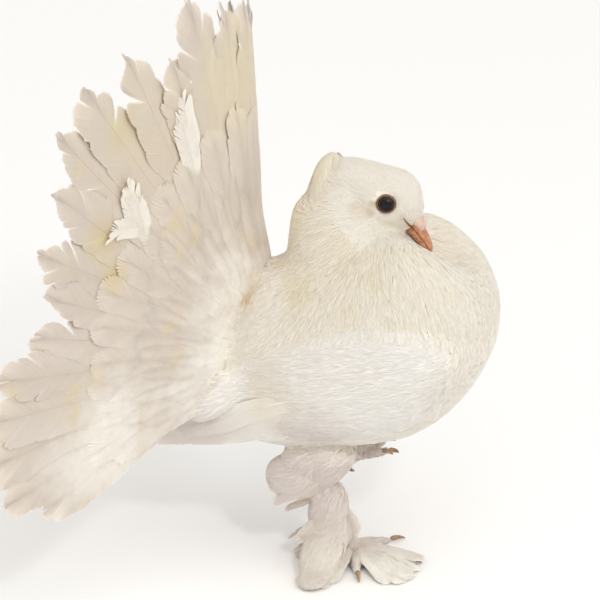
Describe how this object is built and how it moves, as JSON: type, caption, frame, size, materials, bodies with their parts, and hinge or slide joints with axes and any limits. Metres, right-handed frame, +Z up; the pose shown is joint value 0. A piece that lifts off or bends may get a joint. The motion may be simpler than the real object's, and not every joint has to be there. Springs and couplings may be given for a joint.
{
  "type": "indian fantail pigeon",
  "caption": "White fantail pigeon standing on one leg, the other foot tucked up, with its head drawn back and its tail spread as an upright fan.",
  "frame": {"origin": "on the floor, at the flat underside of the standing right foot", "axes": "+Z up, +X the way the bird faces, +Y towards its left side"},
  "size_m": [0.2073, 0.3216, 0.2986],
  "materials": {
    "white_feather": "soft matt",
    "pink_horn": "satin",
    "powdery_cere": "powdery matt",
    "toe_skin": "satin",
    "dark_eye": "wet gloss"
  },
  "bodies": {
    "root": {"torso": "white_feather", "neck": "white_feather", "head": "white_feather", "bill_upper": "pink_horn", "bill_lower": "pink_horn", "cere": "powdery_cere", "eye_right": "dark_eye", "eye_left": "dark_eye", "tail_right": "white_feather", "tail_left": "white_feather", "wing_right": "white_feather", "wing_left": "white_feather", "thigh_right": "white_feather", "shank_right": "white_feather", "foot_right": "white_feather", "claw_right_inner": "pink_horn", "claw_right_middle": "pink_horn", "claw_right_outer": "pink_horn", "claw_right_back": "pink_horn", "thigh_left": "white_feather", "shank_left": "white_feather", "foot_left": "toe_skin", "claw_left_inner": "pink_horn", "claw_left_middle": "pink_horn", "claw_left_outer": "pink_horn", "claw_left_back": "pink_horn"}
  },
  "joints": []
}
